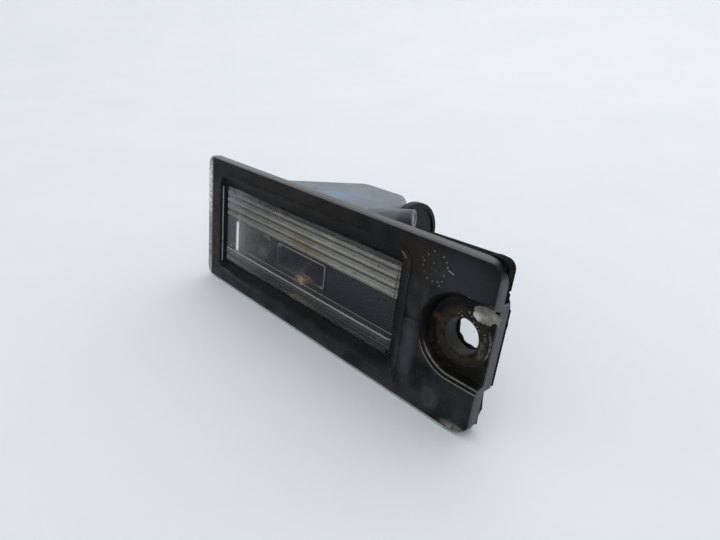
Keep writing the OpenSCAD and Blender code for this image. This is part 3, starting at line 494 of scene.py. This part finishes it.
def dusty_abs():
    """The same ABS with road dust held by the dots, so they stand out a little paler."""
    made, tree, place = start("dusty black ABS")
    cloud = add(tree, "TexNoise", {"Scale": 1 / 0.7, "Detail": 4.0}, {"Vector": place})
    dust = add(tree, "MapRange", {"From Min": 0.4, "From Max": 0.6}, {"Value": cloud.outputs["Fac"]})
    tone = add(tree, "Mix", {"data_type": "RGBA", 6: paint("#232222"), 7: paint("#66635b")},
               {0: dust.outputs[0]})
    end(tree, add(tree, "BsdfPrincipled", {"IOR": 1.54, "Roughness": 0.5}, {"Base Color": tone.outputs[2]}))
    return made

finish_piece(low_domes(DOTS, DOT_RADIUS, DOT_HEIGHT), "date_dots", dusty_abs(), "bezel_plastic")

# %% [markdown]
# ## Dried mud in the pocket
# Rain washes road mud into the pocket, where it dries to a pale crust against
# the upper wall, with loose crumbs. The crust is a fine grid whose middle is
# lifted by noise and whose edge dips below the floor, so it has no cut edge.

# %% Crust and crumbs, in mm
SEAT_RISE, SEAT_R = 0.3, 5.8
CRUST = ((3.8, 5.6), (2.75, 1.6))    # centre and half size in X and Z
CRUST_LIFT = 0.36
# X, Z and radius of each crumb
CRUMBS = ((-1.5, 3.9, 0.16), (-0.8, 3.8, 0.2), (1.8, 3.5, 0.16), (2.6, 3.0, 0.13), (3.1, 2.5, 0.14),
          (1.2, 4.4, 0.14), (-1.1, 4.5, 0.12), (4.4, 2.2, 0.12), (-4.6, -3.4, 0.12), (0.6, 5.0, 0.24))

def ground(px, pz):
    """Height in Y of the pocket's floor, which rises to the seat round the screw."""
    return POCKET_Y - SEAT_RISE * max(0.0, min(1.0, (SEAT_R + 0.3 - math.hypot(px, pz)) / 0.5))

def mud():
    """The crust and its crumbs as one bmesh, on the pocket's floor."""
    bm = bmesh.new()
    (cx, cz), (rx, rz) = CRUST
    made = bmesh.ops.create_grid(bm, x_segments=44, y_segments=30, size=1)
    for vert in made["verts"]:
        u, v = vert.co.x, vert.co.y
        spot = Vector((u * rx, 0, v * rz))
        edge = 1 - math.hypot(u, v) + 0.35 * noise.noise(spot * 0.9) + 0.12 * noise.noise(spot * 3)
        lift = CRUST_LIFT * max(-0.2, min(1.0, edge * 1.8)) + 0.05 * noise.noise(spot * 5) - 0.02
        px, pz = cx + u * rx, cz + v * rz
        vert.co = Vector((px, ground(px, pz) - lift, pz)) * MM
    bmesh.ops.recalc_face_normals(bm, faces=bm.faces)
    if sum(f.normal.y for f in bm.faces) > 0:
        bmesh.ops.reverse_faces(bm, faces=bm.faces)
    for px, pz, size in CRUMBS:
        made = bmesh.ops.create_icosphere(bm, subdivisions=2, radius=size * MM)
        for vert in made["verts"]:
            vert.co *= 1 + 0.35 * noise.noise(vert.co * 6000 + Vector((px, 0, pz)))
        bmesh.ops.scale(bm, vec=(1, 0.6, 1), verts=made["verts"])
        bmesh.ops.translate(bm, vec=(px * MM, (ground(px, pz) - 0.05) * MM, pz * MM), verts=made["verts"])
    return bm

def dried_mud():
    """Road mud dried to a crust: matt, beige grey and chalky where it is thickest."""
    made, tree, place = start("dried road mud")
    cloud = add(tree, "TexNoise", {"Scale": 1 / 1.6, "Detail": 8.0, "Roughness": 0.7}, {"Vector": place})
    mix = add(tree, "MapRange", {"From Min": 0.35, "From Max": 0.65}, {"Value": cloud.outputs["Fac"]})
    base = add(tree, "Mix", {"data_type": "RGBA", 6: paint("#55524a"), 7: paint("#98958b")},
               {0: mix.outputs[0]}).outputs[2]
    chalk = patch(tree, place, (2.2, -2.6, 5.0), (1.5, 3, 1.0), 0.5, 0.6, 0.3)
    tone = coats(tree, base, (chalk, 0.6, "#dedcd5"))
    bump = add(tree, "Bump", {"Strength": 0.6, "Distance": 0.1 * MM}, {"Height": cloud.outputs["Fac"]})
    end(tree, add(tree, "BsdfPrincipled", {"Roughness": 0.9},
                  {"Base Color": tone, "Normal": bump.outputs[0]}))
    return made

finish_piece(mud(), "pocket_mud", dried_mud(), "bezel_plastic")

# %% [markdown]
# ## The lens: clear polycarbonate
# The pane is injection moulded, with ribs along its upper and lower edge that
# spread the light. Between them it is clear. Road film has made the ribs milky
# and brown in places. The dark lines in their grooves are painted shade, and
# light lines on their crests and on the lower ledge are painted highlights. A
# white strip at the left end is a painted reflection. The film is a dull coat
# over the clear plastic, thick on the ribs and thin in between.

# %% Where things are on the lens, in mm
PANE_Y = -3           # a little behind the ribs' crests
RIBS_UPPER, RIBS_LOWER = (1.0, 8.2), (-12.1, -7.9)
# Heights of the dark lines of painted shade in the grooves
GROOVES = (7.1, 6.82, 5.16, 4.88, 3.22, 2.95)
# Heights of the painted highlights along the ribs' crests
CRESTS = (1.96, 3.88, 5.81)
# The light line at the ledge is a painted highlight where the lower ribs' top catches the light
LEDGE = -8.2          # edge between the clear part and the lower ribs
GROOVE_WIDTH, CREST_WIDTH, LEDGE_WIDTH = 0.13, 0.22, 0.2
# Both ends and width of the white strip of painted reflection
REFLECTION_STRIP = ((-73.8, -2.8, 0.0), (-73.8, -2.8, -7.2), 2.2)    # both ends and width
HATCH_MM = 0.7        # the mould's hatching is finer, but would not show

def stripe(tree, z, at, width):
    """1 on a level line at a height in mm, falling to 0 within a width to either side."""
    off = add(tree, "Math", {"operation": "SUBTRACT", 1: at}, {0: z})
    size = add(tree, "Math", {"operation": "ABSOLUTE"}, {0: off.outputs[0]})
    return add(tree, "MapRange", {"From Min": width, "From Max": width / 2},
               {"Value": size.outputs[0]}).outputs[0]

def most(tree, *masks):
    """The largest of some masks, so that stains join."""
    whole = masks[0]
    for mask in masks[1:]:
        whole = add(tree, "Math", {"operation": "MAXIMUM"}, {0: whole, 1: mask}).outputs[0]
    return whole

# %% Lens material
def ribbed_lens():
    """Moulded polycarbonate: glassy and clear, under a road film milky on the ribs, with painted highlights,
    shade and reflection.
    """
    made, tree, place = start("clear moulded polycarbonate")
    part = add(tree, "SeparateXYZ", links={"Vector": place})
    x, z = part.outputs["X"], part.outputs["Z"]
    cloud = add(tree, "TexNoise", {"Scale": 1 / 5, "Detail": 6.0, "Roughness": 0.65}, {"Vector": place})
    fine = add(tree, "TexNoise", {"Scale": 1 / 0.9, "Detail": 5.0, "Roughness": 0.7}, {"Vector": place})
    uneven = add(tree, "MapRange", {"From Min": 0.3, "From Max": 0.65, "To Min": 0.7},
                 {"Value": cloud.outputs["Fac"]}).outputs[0]
    across = add(tree, "MapRange", {"From Min": -80.0, "From Max": -40.0, "To Min": 0.45, "To Max": 0.86},
                 {"Value": x}).outputs[0]
    thick = times(tree, uneven, across)
    # Ribs with their hatching, dark lines of painted shade in their grooves and a few pinholes in the film
    above = add(tree, "MapRange", {"From Min": RIBS_UPPER[0] - 0.05, "From Max": RIBS_UPPER[0] + 0.1},
                {"Value": z}).outputs[0]
    below = add(tree, "MapRange", {"From Min": RIBS_UPPER[1] + 0.1, "From Max": RIBS_UPPER[1] - 0.2},
                {"Value": z}).outputs[0]
    lower = add(tree, "MapRange", {"From Min": RIBS_LOWER[1] + 0.1, "From Max": RIBS_LOWER[1] - 0.1},
                {"Value": z}).outputs[0]
    slant = add(tree, "VectorMath", {"operation": "DOT_PRODUCT", 1: (1.0, 0, -0.5)}, {0: place})
    swing = add(tree, "Math", {"operation": "MULTIPLY", 1: math.tau / HATCH_MM},
                {0: slant.outputs["Value"]})
    wave = add(tree, "Math", {"operation": "SINE"}, {0: swing.outputs[0]})
    hatch = add(tree, "MapRange", {"From Min": -1.0, "From Max": 1.0, "To Min": 0.82},
                {"Value": wave.outputs[0]}).outputs[0]
    dark = most(tree, *[stripe(tree, z, at, GROOVE_WIDTH) for at in GROOVES])
    gap = add(tree, "Math", {"operation": "SUBTRACT", 0: 1.0}, {1: dark}).outputs[0]
    spots = add(tree, "MapRange", {"From Min": 0.36, "From Max": 0.4},
                {"Value": fine.outputs["Fac"]}).outputs[0]
    milky = times(tree, above, below, thick, hatch, gap, spots)
    dusty = times(tree, lower, uneven, hatch)
    both = add(tree, "MapRange", {"To Max": 0.16}, {"Value": dusty})
    ribs = most(tree, milky, both.outputs[0])
    crest_highlight = times(tree, most(tree, *[stripe(tree, z, at, CREST_WIDTH) for at in CRESTS]), across)
    ledge_highlight = stripe(tree, z, LEDGE, LEDGE_WIDTH)
    # Film between the ribs, thicker by the stains
    haze = add(tree, "MapRange", {"From Min": 0.62, "From Max": 0.75, "To Max": 0.08},
               {"Value": fine.outputs["Fac"]}).outputs[0]
    smear = add(tree, "MapRange", {"From Min": 0.46, "From Max": 0.66, "To Max": 0.3},
                {"Value": cloud.outputs["Fac"]}).outputs[0]
    grime = patch(tree, place, (-52, PANE_Y, -5.0), (26, 4, 7.0), 0.6, 3.0, 0.1)
    blotch = patch(tree, place, (-61.5, PANE_Y, -4.2), (3.0, 4, 2.4), 0.4, 1.6, 0.3)
    stain = patch(tree, place, (-45.6, PANE_Y, -6.0), (3.2, 4, 1.8), 0.9, 0.8, 0.1)
    ochre = patch(tree, place, (-45.0, PANE_Y, 2.8), (11, 4, 3.4), 0.7, 1.6, 0.1)
    drip = patch(tree, place, (-60.2, PANE_Y, 0.4), (2.2, 4, 1.3), 0.7, 0.9, 0.2)
    low_left = patch(tree, place, (-75.5, PANE_Y, -10.2), (5.0, 4, 2.6), 0.4, 1.2, 0.3)
    low_mid = times(tree, patch(tree, place, (-45, PANE_Y, -11), (9, 4, 1.4), 0.7, 1.2, 0.2), spots)
    high_left = patch(tree, place, (-77.0, PANE_Y, 6.0), (6.0, 4, 5.0), 0.4, 1.2, 0.2)
    pale = most(tree, blotch, low_left, low_mid, times(tree, high_left, gap))
    faint = add(tree, "Math", {"operation": "MULTIPLY", 1: 0.45}, {0: pale}).outputs[0]
    middle = add(tree, "Math", {"operation": "ADD"}, {0: times(tree, grime, smear), 1: haze}).outputs[0]
    thin = add(tree, "Math", {"operation": "MULTIPLY", 1: 0.5}, {0: drip}).outputs[0]
    shine = add(tree, "Math", {"operation": "MULTIPLY", 1: 0.6}, {0: times(tree, ledge_highlight, uneven)}).outputs[0]
    line = times(tree, dark, above, below)
    # A white strip at the left end with a soft warm edge, laid on like film: a painted reflection of the sky
    # in the reflector's curved end
    run = scratch(tree, place, *REFLECTION_STRIP)
    reflection_edge = patch(tree, place, (-72.0, -2.8, -3.6), (2.2, 4, 5.0), 0.3, 1.6, 0.2)
    soft_reflection_edge = add(tree, "Math", {"operation": "MULTIPLY", 1: 0.34}, {0: reflection_edge}).outputs[0]
    dried = most(tree, run, soft_reflection_edge)
    cover = most(tree, ribs, middle, faint, thin, stain, times(tree, crest_highlight, above, below), shine, line,
                 dried)
    capped = add(tree, "MapRange", {"To Max": 0.9}, {"Value": cover})
    milk = add(tree, "Mix", {"data_type": "RGBA", 6: paint("#69655a"), 7: paint("#a19f93")},
               {0: ribs}).outputs[2]
    # Painted highlights on crests and ledge, painted shade in the grooves, painted reflection at the left
    # end
    tone = coats(tree, milk, (ochre, 0.85, "#7d6640"), (stain, 0.7, "#9c8660"), (drip, 0.5, "#8b8468"),
                 (times(tree, crest_highlight, above), 0.35, "#bcbcb5"), (ledge_highlight, 0.9, "#c4c4bd"),
                 (line, 0.85, "#171714"), (high_left, 0.5, "#b6babf"),
                 (reflection_edge, 0.6, "#b5ad9d"), (run, 1.0, "#fbfcfd"))
    dirt = add(tree, "BsdfPrincipled", {"Roughness": 0.55, "IOR": 1.5}, {"Base Color": tone})
    # A pane this thin hardly bends light, so most goes straight through. The rest is the sheen and a pale
    # coat that paints the light seen through the pane, paler towards the left end
    cool = add(tree, "MapRange", {"From Min": -60.0, "From Max": -73.0}, {"Value": x}).outputs[0]
    inner_light_coat = add(tree, "Mix", {"data_type": "RGBA", 6: paint("#47464f"), 7: paint("#c6c4cc")}, {0: cool})
    sheen = add(tree, "BsdfPrincipled", {"Roughness": 0.08, "IOR": 1.58}, {"Base Color": inner_light_coat.outputs[2]})
    straight = add(tree, "BsdfTransparent", {"Color": paint("#f1efef")})
    pane = add(tree, "MixShader", {0: 0.84}, {1: sheen.outputs[0], 2: straight.outputs[0]})
    end(tree, add(tree, "MixShader", links={0: capped.outputs[0], 1: pane.outputs[0], 2: dirt.outputs[0]}))
    return made

finish_piece(moulded("lens", 0.08, 50), "lens_pane", ribbed_lens(), "lens_plastic", "lens")

# %% [markdown]
# ## The body: blue grey polypropylene
# The body is moulded from polypropylene, which feels waxy and has no deep gloss.
# It has stayed behind the panel, so it is cleaner than the bezel: cloudy, with a
# painted reflection of the sky on the roof, painted shade on the vent tube, pale
# rubbed edges and two small dimples painted dark as shade.

# %% Body finish
# Places of two small dimples in the roof, painted dark as shade
PITS = ((-66.4, 12.15, 12.15), (-59.3, 10.72, 12.15))    # places in mm
PIT_SIZE = (0.6, 0.9, 3.0)

def grey_housing():
    """Moulded polypropylene: waxy, half matt and cloudy, with a soft wide highlight."""
    made, tree, place = start("blue grey polypropylene")
    cloud = add(tree, "TexNoise", {"Scale": 1 / 7, "Detail": 5.0, "Roughness": 0.6}, {"Vector": place})
    fine = add(tree, "TexNoise", {"Scale": 1 / 0.8, "Detail": 5.0, "Roughness": 0.7}, {"Vector": place})
    soft = add(tree, "MapRange", {"From Min": 0.35, "From Max": 0.65}, {"Value": cloud.outputs["Fac"]})
    base = add(tree, "Mix", {"data_type": "RGBA", 6: paint("#5f666b"), 7: paint("#727b82")},
               {0: soft.outputs[0]}).outputs[2]
    # A bluer patch on the roof is a painted reflection of the sky
    sky_on_roof = patch(tree, place, (-52, 12, 12), (10, 10, 6), 1.0, 4.0, 0.0)
    # The vent tube is painted darker, as shade on it
    spigot_shade = patch(tree, place, (-27, 13, 10), (5.4, 9, 7), 0.2, 3.0, 0.7)
    speck = add(tree, "MapRange", {"From Min": 0.7, "From Max": 0.76}, {"Value": fine.outputs["Fac"]})
    worn = add(tree, "Attribute", {"attribute_name": "worn"})
    layers = [(sky_on_roof, 0.6, "#6d88ab"), (spigot_shade, 0.75, "#3b4149"), (speck.outputs[0], 0.5, "#3d4348"),
              (worn.outputs["Fac"], 0.35, "#a9b1b8")]
    # The two dimples are dark spots of painted shade
    layers += [(patch(tree, place, pit, PIT_SIZE, 0.2, 0.5, 0.6), 0.9, "#1c1f22") for pit in PITS]
    tone = coats(tree, base, *layers)
    rough = add(tree, "MapRange", {"To Min": 0.34, "To Max": 0.55}, {"Value": fine.outputs["Fac"]})
    bump = add(tree, "Bump", {"Strength": 0.15, "Distance": 0.05 * MM}, {"Height": fine.outputs["Fac"]})
    end(tree, add(tree, "BsdfPrincipled", {"IOR": 1.49},
                  {"Base Color": tone, "Roughness": rough.outputs[0], "Normal": bump.outputs[0]}))
    return made

finish_piece(moulded("lamp_body", 0.2), "body_moulding", grey_housing(), "body_plastic", "lamp_body")

# %% [markdown]
# ## Rubber, metal and glass behind the lens
# Most other pieces have the right shape as they are and only need a finish.
# Each is one even material with some clouding, a grain in millimetres, and the
# roughness that such a material has when new, dulled by some years of use.

# %% Even finishes
def even_finish(name, code, roughness, metallic=0.0, ior=1.5, grain_mm=0.6, depth_mm=0.02, shine=0.5):
    """One material of even colour, with slight clouding, a fine grain and its own level of shine."""
    made, tree, place = start(name)
    cloud = add(tree, "TexNoise", {"Scale": 1 / 4, "Detail": 4.0}, {"Vector": place})
    base = paint(code)
    light = [min(1.0, c * 1.4) for c in base[:3]] + [1.0]
    tone = add(tree, "Mix", {"data_type": "RGBA", 6: base, 7: light}, {0: cloud.outputs["Fac"]})
    rough = add(tree, "MapRange", {"To Min": roughness * 0.8, "To Max": min(1.0, roughness * 1.2)},
                {"Value": cloud.outputs["Fac"]})
    grain = add(tree, "TexNoise", {"Scale": 1 / grain_mm, "Detail": 3.0}, {"Vector": place})
    bump = add(tree, "Bump", {"Strength": 0.5, "Distance": depth_mm * MM}, {"Height": grain.outputs["Fac"]})
    end(tree, add(tree, "BsdfPrincipled", {"Metallic": metallic, "IOR": ior, "Specular IOR Level": shine},
                  {"Base Color": tone.outputs[2], "Roughness": rough.outputs[0], "Normal": bump.outputs[0]}))
    return made

rubber = even_finish("black EPDM rubber", "#121213", 0.8, shine=0.2)
nylon = even_finish("black glass filled nylon", "#0e0f12", 0.42, shine=0.2)
sheet = even_finish("aluminium sheet", "#c8cacc", 0.35, metallic=1.0)
felt = even_finish("pale felt", "#a9a89f", 0.95)
brass = even_finish("stamped brass", "#b5924c", 0.35, metallic=1.0)
wire = even_finish("nickel wire", "#a7a7a4", 0.35, metallic=1.0)
glass = even_finish("soda glass", "#f4f6f6", 0.03, ior=1.52, depth_mm=0.0)
glass.node_tree.nodes["Principled BSDF"].inputs["Transmission Weight"].default_value = 1.0

# %% Dulled reflector
LEFT_END = -79.94     # where X and Y add up to this, the reflector's curved left end begins
REFLECTOR_REACH = 66.0
# Distance from there in mm, and colour; the white strip and its blue grey and beige edges are a painted
# reflection
REFLECTOR_TONES = ((0.0, "#74777f"), (0.2, "#ffffff"), (1.4, "#f7f6f1"), (1.8, "#a19d91"), (3.0, "#7b786e"),
                   (4.3, "#343436"), (6.3, "#232426"), (30.0, "#141516"), (REFLECTOR_REACH, "#0c0c0d"))
EYE = ((-63.04, -9.0), (-44.04, -3.2), 0.6)    # the small opening's corners and rounding

def dulled_mirror():
    """Aluminium vapour on ABS, dark away from its left end, where pale bands are a painted reflection."""
    made, tree, place = start("aluminised ABS with painted reflection")
    part = add(tree, "SeparateXYZ", links={"Vector": place})
    slant = add(tree, "Math", {"operation": "ADD"}, {0: part.outputs["X"], 1: part.outputs["Y"]})
    along = add(tree, "Math", {"operation": "SUBTRACT", 1: LEFT_END}, {0: slant.outputs[0]})
    tone = rings(tree, along.outputs[0], REFLECTOR_TONES, REFLECTOR_REACH)
    eye = add(tree, "Math", {"operation": "ABSOLUTE"}, {0: inside(tree, place, *EYE)})
    # Pale rims round the small opening, strongest on its upper and right edges, are painted highlights
    eye_highlight = add(tree, "MapRange", {"From Min": 0.4, "From Max": 0.25}, {"Value": eye.outputs[0]})
    high = add(tree, "MapRange", {"From Min": -4.6, "From Max": -3.6}, {"Value": part.outputs["Z"]})
    right = add(tree, "MapRange", {"From Min": -46.0, "From Max": -44.6}, {"Value": part.outputs["X"]})
    shown = most(tree, high.outputs[0], right.outputs[0])
    strong = add(tree, "MapRange", {"To Min": 0.2}, {"Value": shown}).outputs[0]
    tone = coats(tree, tone, (times(tree, eye_highlight.outputs[0], strong), 0.95, "#f6f6f2"))
    cloud = add(tree, "TexNoise", {"Scale": 1 / 3, "Detail": 5.0}, {"Vector": place})
    rough = add(tree, "MapRange", {"To Min": 0.25, "To Max": 0.5}, {"Value": cloud.outputs["Fac"]})
    curve = add(tree, "MapRange", {"From Min": 4.6, "From Max": 3.6, "To Min": 0.2},
                {"Value": along.outputs[0]})
    matt = add(tree, "MapRange", {"From Min": 1.3, "From Max": 1.6}, {"Value": along.outputs[0]})
    bright = add(tree, "Math", {"operation": "MULTIPLY"}, {0: curve.outputs[0], 1: matt.outputs[0]})
    bump = add(tree, "Bump", {"Strength": 0.2, "Distance": 0.1 * MM}, {"Height": cloud.outputs["Fac"]})
    end(tree, add(tree, "BsdfPrincipled", {}, {"Base Color": tone, "Roughness": rough.outputs[0],
                                               "Metallic": bright.outputs[0], "Normal": bump.outputs[0]}))
    return made

# %% Dress the carried over nodes
def dress(node, material):
    """Gives a CAD node, whose shape is right as it is, its finish."""
    mesh = nodes[node].data
    mesh.materials.clear()
    mesh.materials.append(material)

silvered = dulled_mirror()
for material, group in ((rubber, "lens_seal body_seal holder_seal"), (silvered, "reflector"),
                        (sheet, "heat_shield"), (felt, "vent_membrane"), (glass, "bulb_glass"),
                        (brass, "contact_front contact_rear"), (wire, "lead_wire_front lead_wire_rear")):
    for node in group.split():
        dress(node, material)
        print(node, "is", material.name)

# %% [markdown]
# ## The gasket: torn cell rubber
# The gasket is a sheet of soft black cell rubber. Pulled off the car's panel, its
# edge is ragged. The copy's outline is cut into short edges and each is pushed
# in or out along the sheet by noise, the same for its front and its back edge.

# %% Torn outline
def torn(node, step, depth):
    """A copy of a sheet in X and Z whose outline is ragged by up to a depth in mm."""
    bm = moulded(node, 0.12, 60)
    for _ in range(4):
        long = [e for e in bm.edges if e.calc_length() > step * MM and not e.is_wire
                and abs(e.verts[0].co.y - e.verts[1].co.y) < 0.5 * e.calc_length()]
        bmesh.ops.subdivide_edges(bm, edges=long, cuts=1)
    bmesh.ops.triangulate(bm, faces=bm.faces)
    for vert in bm.verts:
        flat = Vector((vert.co.x, 0, vert.co.z)) * 1000
        way = Vector((vert.normal.x, 0, vert.normal.z))
        if way.length > 0.3:
            push = noise.noise(flat * 0.55) * 0.6 + noise.noise(flat * 1.7) * 0.4 - 0.35
            vert.co += way.normalized() * push * depth * MM
    return bm

EDGE_STEP, TEAR_DEPTH = 0.9, 0.45    # in mm
foam = even_finish("black cell rubber", "#0b0b0c", 0.9, grain_mm=0.5, depth_mm=0.15, shine=0.1)
torn_sheet = torn("panel_gasket", EDGE_STEP, TEAR_DEPTH)
finish_piece(torn_sheet, "torn_gasket", foam, "gasket_rubber", "panel_gasket")
finish_piece(moulded("bulb_holder", 0.15), "holder_moulding", nylon, "holder_plastic", "bulb_holder")

# %% [markdown]
# ## The filament
# A bulb's filament is tungsten wire wound into a coil, which the CAD model shows
# as a rod. A small circle is spun round the coil's axis and moved along it at
# the same time, which makes a helix in one step.

# %% Coil
TURNS, COIL_RADIUS, WIRE_RADIUS, STEPS_PER_TURN = 9, 0.2 * MM, 0.045 * MM, 14

def coil():
    """A helix of thin wire in the box of the CAD rod."""
    low, high = (Vector(corner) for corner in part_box("filament"))
    centre = (low + high) / 2
    length = high.y - low.y - 2 * WIRE_RADIUS
    bm = bmesh.new()
    ring = bmesh.ops.create_circle(bm, cap_ends=False, segments=6, radius=WIRE_RADIUS)["verts"]
    bmesh.ops.translate(bm, vec=(centre.x + COIL_RADIUS - WIRE_RADIUS, low.y + WIRE_RADIUS, centre.z),
                        verts=ring)
    rim = list({e for v in ring for e in v.link_edges})
    steps = TURNS * STEPS_PER_TURN
    bmesh.ops.spin(bm, geom=ring + rim, cent=(centre.x, 0, centre.z), axis=(0, 1, 0),
                   dvec=(0, length / steps, 0), angle=math.tau * TURNS, steps=steps)
    bmesh.ops.holes_fill(bm, edges=bm.edges, sides=6)
    bmesh.ops.recalc_face_normals(bm, faces=bm.faces)
    return bm

finish_piece(coil(), "filament_coil", even_finish("tungsten wire", "#5c5d60", 0.4, metallic=1.0),
             "wire_metal", "filament")
